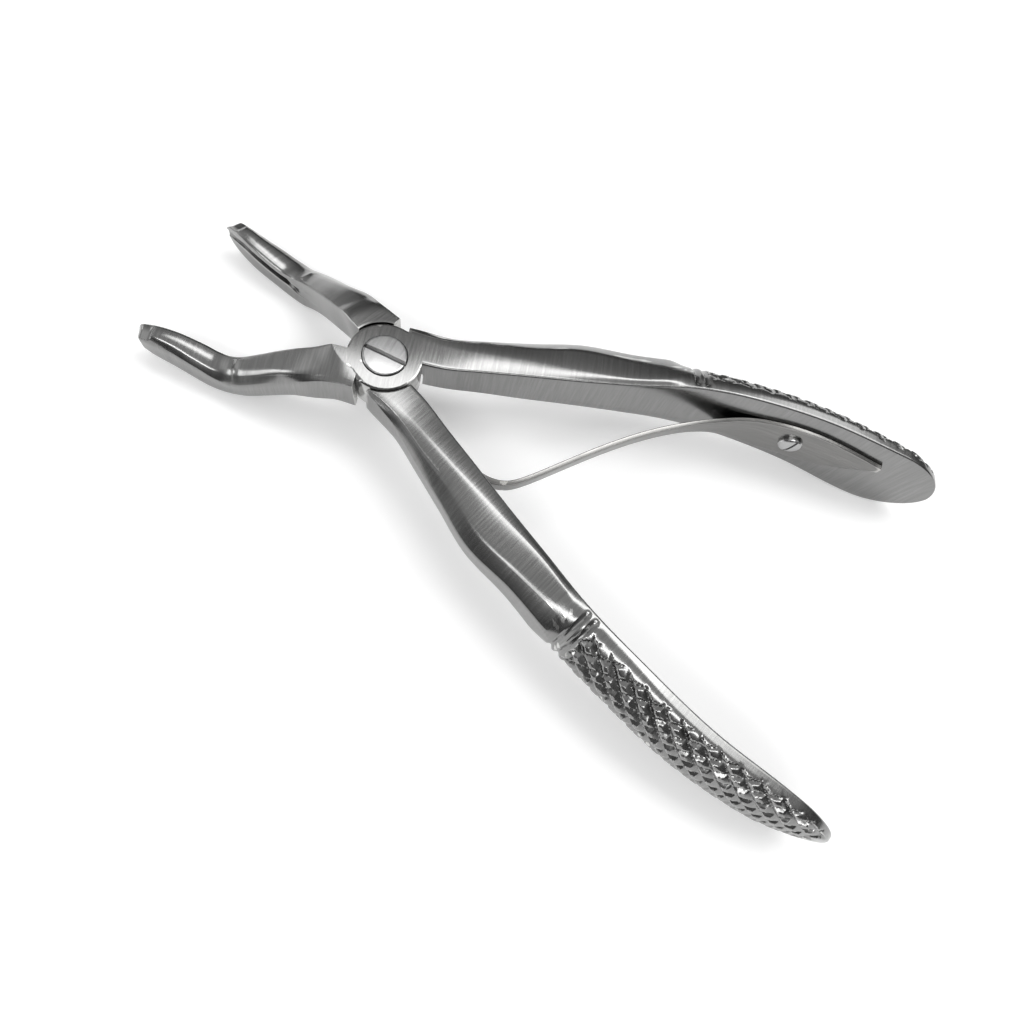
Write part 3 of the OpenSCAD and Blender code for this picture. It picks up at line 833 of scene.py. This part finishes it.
def makeCamera():
    e, r = math.radians(cameraSet["elevation"]), math.radians(cameraSet["roll"])
    ahead = Vector((0, math.cos(e), -math.sin(e)))
    side = Vector((1, 0, 0))
    up = side.cross(ahead)
    right = math.cos(r) * side + math.sin(r) * up
    top = -math.sin(r) * side + math.cos(r) * up
    spin = Matrix.Rotation(math.radians(-cameraSet["turn"]), 3, "Z")
    data = bpy.data.cameras.new("studioCamera")
    data.lens, data.sensor_width, data.clip_start = cameraSet["lens"], 36, 0.001
    camera = bpy.data.objects.new("studioCamera", data)
    bpy.context.scene.collection.objects.link(camera)
    turned = Matrix((spin @ right, spin @ top, -(spin @ ahead))).transposed().to_4x4()
    camera.matrix_world = Matrix.Translation(cameraSet["place"]) @ turned
    bpy.context.scene.camera = camera


makeCamera()
print("camera ready")


def nodeAt(tree, kind, x, y, **settings):
    node = tree.nodes.new(kind)
    node.location = (x, y)
    for name, value in settings.items():
        setattr(node, name, value)
    return node


def newGroup(name, inputs, outputs):
    group = bpy.data.node_groups.new(name, "ShaderNodeTree")
    for label, kind, value in inputs:
        socket = group.interface.new_socket(name=label, in_out="INPUT", socket_type=kind)
        if value is not None:
            socket.default_value = value
    for label, kind in outputs:
        group.interface.new_socket(name=label, in_out="OUTPUT", socket_type=kind)
    return group, nodeAt(group, "NodeGroupInput", -900, 0), nodeAt(group, "NodeGroupOutput", 700, 0)


def mathNode(tree, how, x, y, a=None, b=None, clamp=False):
    node = nodeAt(tree, "ShaderNodeMath", x, y, operation=how, use_clamp=clamp)
    for socket, value in zip(node.inputs, (a, b)):
        if isinstance(value, (int, float)):
            socket.default_value = value
        elif value is not None:
            tree.links.new(value, socket)
    return node.outputs[0]


def noiseNode(tree, x, y, place, scale, detail, rough=0.5):
    node = nodeAt(tree, "ShaderNodeTexNoise", x, y)
    for label, value in (("Scale", scale), ("Detail", detail), ("Roughness", rough)):
        node.inputs[label].default_value = value
    tree.links.new(place, node.inputs["Vector"])
    return node.outputs["Fac"]


def rangeNode(tree, x, y, value, given, wanted, **settings):
    # the span given becomes the span wanted
    node = nodeAt(tree, "ShaderNodeMapRange", x, y, **settings)
    for label, span in (("From", given), ("To", wanted)):
        node.inputs[label + " Min"].default_value, node.inputs[label + " Max"].default_value = span
    tree.links.new(value, node.inputs["Value"])
    return node


def brushGroup():
    # strokes left by the finishing belt: long along two axes, fine along the first
    inputs = [("Place", "NodeSocketVector", None), ("Fine", "NodeSocketFloat", 4200.0),
              ("Long", "NodeSocketFloat", 260.0)]
    outputs = [("Strokes", "NodeSocketFloat"), ("Broad", "NodeSocketFloat")]
    group, given, result = newGroup("beltStrokes", inputs, outputs)
    split = nodeAt(group, "ShaderNodeSeparateXYZ", -700, 0)
    group.links.new(given.outputs["Place"], split.inputs[0])
    fine = nodeAt(group, "ShaderNodeCombineXYZ", -300, 150)
    for axis, (scale, y) in enumerate((("Fine", 250), ("Long", 100), ("Long", -50))):
        scaled = mathNode(group, "MULTIPLY", -500, y, split.outputs[axis], given.outputs[scale])
        group.links.new(scaled, fine.inputs[axis])
    strokes = noiseNode(group, -100, 150, fine.outputs[0], 1.0, 2.0, 0.6)
    broad = noiseNode(group, -100, -200, fine.outputs[0], 0.23, 2.0)
    group.links.new(strokes, result.inputs["Strokes"])
    group.links.new(broad, result.inputs["Broad"])
    return group


def edgeHighlightAndSmudgeGroup():
    # painted highlight along the sharp edges, broken into patches, with smudges for the roughness
    inputs = [("Place", "NodeSocketVector", None), ("Start", "NodeSocketFloat", 0.53),
              ("Full", "NodeSocketFloat", 0.56)]
    outputs = [("PaintedEdgeHighlight", "NodeSocketFloat"), ("Smudge", "NodeSocketFloat")]
    group, given, result = newGroup("edgeHighlightAndSmudge", inputs, outputs)
    shape = nodeAt(group, "ShaderNodeNewGeometry", -700, 200)
    edges = nodeAt(group, "ShaderNodeMapRange", -300, 200, clamp=True)
    group.links.new(shape.outputs["Pointiness"], edges.inputs["Value"])
    group.links.new(given.outputs["Start"], edges.inputs["From Min"])
    group.links.new(given.outputs["Full"], edges.inputs["From Max"])
    patch = noiseNode(group, -300, -100, given.outputs["Place"], 420.0, 3.0)
    smudge = noiseNode(group, -300, -350, given.outputs["Place"], 85.0, 3.0)
    patchy = mathNode(group, "ADD", 0, 0, patch, 0.35)
    # the painted edge highlight: sharp edges, broken into patches by noise
    highlightPatches = mathNode(group, "MULTIPLY", 200, 200, edges.outputs[0], patchy, True)
    group.links.new(highlightPatches, result.inputs["PaintedEdgeHighlight"])
    group.links.new(smudge, result.inputs["Smudge"])
    return group


beltStrokes, edgeHighlightAndSmudge = brushGroup(), edgeHighlightAndSmudgeGroup()

# bare colour and that of the painted edge highlight, roughness, how bright the streaks are, and how fine,
# long and deep the strokes
finishes = {
    "halfSteel": {"colour": (0.22, 0.22, 0.218), "edgeHighlightColour": (0.6, 0.6, 0.59), "rough": 0.21,
                  "roughSpread": 0.08, "streak": 0.15, "fine": 3900.0, "long": 170.0, "depth": 0.0000005},
    "screwSteel": {"colour": (0.4, 0.4, 0.4), "edgeHighlightColour": (0.6, 0.6, 0.6), "rough": 0.24,
                   "roughSpread": 0.08, "streak": 0.3, "fine": 3000.0, "long": 150.0, "depth": 0.0000004},
    "leafSteel": {"colour": (0.175, 0.174, 0.17), "edgeHighlightColour": (0.6, 0.59, 0.57), "rough": 0.24,
                  "roughSpread": 0.12, "streak": 0.12, "fine": 3600.0, "long": 160.0, "depth": 0.0000005},
}


def steelMaterial(name, turn=0.0, upright=False, kind="halfSteel"):
    # turn is the angle of the piece's own length; upright strokes run along it instead of across
    look = finishes[kind]
    material = bpy.data.materials.new(name)
    material.use_nodes = True
    tree = material.node_tree
    shader = tree.nodes["Principled BSDF"]
    shader.location = (700, 0)
    tree.nodes["Material Output"].location = (1000, 0)
    shader.inputs["Metallic"].default_value = 1.0
    place = nodeAt(tree, "ShaderNodeTexCoord", -1000, 0)
    along = nodeAt(tree, "ShaderNodeMapping", -800, 0)
    along.inputs["Rotation"].default_value = (0, math.radians(90) if upright else 0, math.radians(-turn))
    tree.links.new(place.outputs["Object"], along.inputs["Vector"])
    belt = nodeAt(tree, "ShaderNodeGroup", -550, 150, node_tree=beltStrokes)
    belt.inputs["Fine"].default_value = look["fine"]
    belt.inputs["Long"].default_value = look["long"]
    tree.links.new(along.outputs[0], belt.inputs["Place"])
    highlightAndSmudge = nodeAt(tree, "ShaderNodeGroup", -550, -150, node_tree=edgeHighlightAndSmudge)
    tree.links.new(along.outputs[0], highlightAndSmudge.inputs["Place"])
    strokes = belt.outputs["Strokes"]
    # colour: streaks are brighter, and the sharp edges get a painted highlight
    colour = nodeAt(tree, "ShaderNodeMix", 250, 250, data_type="RGBA")
    colour.inputs["A"].default_value = (*look["colour"], 1)
    colour.inputs["B"].default_value = (*look["edgeHighlightColour"], 1)
    streak = rangeNode(tree, -50, 350, strokes, (0.35, 0.75), (0.0, look["streak"]), clamp=True)
    bright = mathNode(tree, "MAXIMUM", 100, 250, streak.outputs[0], highlightAndSmudge.outputs["PaintedEdgeHighlight"])
    tree.links.new(bright, colour.inputs["Factor"])
    tree.links.new(colour.outputs["Result"], shader.inputs["Base Color"])
    # roughness: half strokes, half smudges
    halfStrokes = mathNode(tree, "MULTIPLY", -400, 100, strokes, 0.5)
    halfSmudge = mathNode(tree, "MULTIPLY", -400, -50, highlightAndSmudge.outputs["Smudge"], 0.5)
    mixed = mathNode(tree, "ADD", -250, 0, halfStrokes, halfSmudge)
    least, most = look["rough"] - look["roughSpread"] / 2, look["rough"] + look["roughSpread"] / 2
    rough = rangeNode(tree, 250, -50, mixed, (0.3, 0.7), (least, most), clamp=True)
    tree.links.new(rough.outputs[0], shader.inputs["Roughness"])
    # relief: the strokes and their broad waves
    waves = mathNode(tree, "MULTIPLY", -200, -450, belt.outputs["Broad"], 0.8)
    height = mathNode(tree, "ADD", 0, -350, strokes, waves)
    bump = nodeAt(tree, "ShaderNodeBump", 400, -350)
    bump.inputs["Distance"].default_value = look["depth"]
    tree.links.new(height, bump.inputs["Height"])
    tree.links.new(bump.outputs["Normal"], shader.inputs["Normal"])
    return material


def wears(piece, material):
    piece.data.materials.clear()
    piece.data.materials.append(material)


wears(upperHalf, steelMaterial("upperHalfSteel", halfAngle))
wears(lowerHalf, steelMaterial("lowerHalfSteel", -halfAngle))
wears(screwPiece, steelMaterial("pivotSteel", pivot["slotTurn"], kind="screwSteel"))
wears(leafPiece, steelMaterial("leafSteel", leaf["strokesTurn"], upright=True, kind="leafSteel"))
wears(leafHead, steelMaterial("leafScrewSteel", halfAngle, kind="screwSteel"))
print("finishes laid on")


# the floor; lift is the glow that the camera and the steel see on it
floorSet = {"colour": (0.86, 0.86, 0.86), "lift": 0.24, "size": 1.5, "below": 0.00004}


def floorMaterial():
    material = bpy.data.materials.new("paleFloor")
    material.use_nodes = True
    tree = material.node_tree
    tree.nodes.clear()
    matte = nodeAt(tree, "ShaderNodeBsdfDiffuse", 0, 100)
    matte.inputs["Color"].default_value = (*floorSet["colour"], 1)
    glow = nodeAt(tree, "ShaderNodeEmission", 0, -100)
    path = nodeAt(tree, "ShaderNodeLightPath", -600, -100)
    rays = path.outputs
    mirrored = mathNode(tree, "MAXIMUM", -500, -250, rays["Is Glossy Ray"], rays["Is Transmission Ray"])
    seen = mathNode(tree, "MAXIMUM", -400, -100, rays["Is Camera Ray"], mirrored)
    tree.links.new(mathNode(tree, "MULTIPLY", -200, -100, seen, floorSet["lift"]), glow.inputs["Strength"])
    both = nodeAt(tree, "ShaderNodeAddShader", 250, 0)
    out = nodeAt(tree, "ShaderNodeOutputMaterial", 450, 0)
    tree.links.new(matte.outputs[0], both.inputs[0])
    tree.links.new(glow.outputs[0], both.inputs[1])
    tree.links.new(both.outputs[0], out.inputs["Surface"])
    return material


def makeFloor():
    # one plane that touches the lowest points of beaks and palms
    lows = {}
    for piece in (upperHalf, lowerHalf):
        for vertex in piece.data.vertices:
            side = "beak" if vertex.co.x < 0 else "palm"
            if side not in lows or vertex.co.z < lows[side].z:
                lows[side] = vertex.co.copy()
    slope = (lows["palm"].z - lows["beak"].z) / (lows["palm"].x - lows["beak"].x)
    level = lows["beak"].z - slope * lows["beak"].x - floorSet["below"]
    size = floorSet["size"]
    mesh = bpy.data.meshes.new("floor")
    corners = [(-size, -size), (size, -size), (size, size), (-size, size)]
    mesh.from_pydata([(x, y, level + slope * x) for x, y in corners], [], [(0, 1, 2, 3)])
    floor = bpy.data.objects.new("floor", mesh)
    bpy.context.scene.collection.objects.link(floor)
    mesh.materials.append(floorMaterial())
    print("floor under the beaks and palms:", round(level / mm, 2), "mm, slope", round(slope, 4))


makeFloor()

# each box: where it hangs (degrees round, degrees up), width along the object and depth across it, how bright
softBoxes = {
    "backBox": {"round": 88, "up": 74, "size": (0.84, 0.27), "bright": 4.1},
    "frontBox": {"round": -88, "up": 54, "size": (1.0, 0.19), "bright": 6.0},
    "sideBox": {"round": -155, "up": 15, "size": (0.26, 0.24), "bright": 3.4},
    "rightBox": {"round": 42, "up": 56, "size": (0.62, 0.56), "bright": 2.9},
}


# the lamps hang round this place, this far away
lampsRound = {"centre": (0.02, 0, 0), "away": 1.1}


def makeLights():
    centre = Vector(lampsRound["centre"])
    for name, box in softBoxes.items():
        a, e = math.radians(box["round"]), math.radians(box["up"])
        away = Vector((math.cos(a) * math.cos(e), math.sin(a) * math.cos(e), math.sin(e)))
        data = bpy.data.lights.new(name, "AREA")
        data.shape = "RECTANGLE"
        data.size, data.size_y = box["size"]
        data.energy = box["bright"] * math.pi * box["size"][0] * box["size"][1]
        lamp = bpy.data.objects.new(name, data)
        lamp.location = centre + away * lampsRound["away"]
        across = Vector((0, 0, 1)).cross(away)
        over = away.cross(across).normalized()
        facing = Matrix((over.cross(away), over, away)).transposed().to_4x4()
        lamp.matrix_world = Matrix.Translation(lamp.location) @ facing
        bpy.context.scene.collection.objects.link(lamp)


# the room: grey levels from below to above, and a brighter wall on the beaks' side
roomSet = {
    "below": 0.12,
    "above": 0.65,
    "levels": ((0.34, 0.14), (0.57, 0.28), (0.77, 0.48), (0.94, 0.62)),
    "wallAt": (-0.55, -0.95),
    "wallBright": 4.6,
}


def makeWorld():
    world = bpy.data.worlds.new("studio")
    world.use_nodes = True
    tree = world.node_tree
    back = tree.nodes["Background"]
    place = nodeAt(tree, "ShaderNodeTexCoord", -900, 0)
    split = nodeAt(tree, "ShaderNodeSeparateXYZ", -700, 0)
    tree.links.new(place.outputs["Generated"], split.inputs[0])
    band = nodeAt(tree, "ShaderNodeValToRGB", -400, 0)
    stops = band.color_ramp.elements
    for stop, spot, level in ((stops[0], 0.0, roomSet["below"]), (stops[1], 1.0, roomSet["above"])):
        stop.position, stop.color = spot, (level, level, level, 1)
    for spot, level in roomSet["levels"]:
        stops.new(spot).color = (level, level, level, 1)
    tree.links.new(split.outputs[2], band.inputs["Fac"])
    tree.links.new(band.outputs["Color"], back.inputs["Color"])
    wall = rangeNode(tree, -400, -300, split.outputs[0], roomSet["wallAt"], (1.0, roomSet["wallBright"]),
                     interpolation_type="SMOOTHSTEP")
    tree.links.new(wall.outputs[0], back.inputs["Strength"])
    bpy.context.scene.world = world


makeLights()
makeWorld()
bpy.context.scene.view_settings.view_transform = "Standard"
print("floor, lights and world ready")
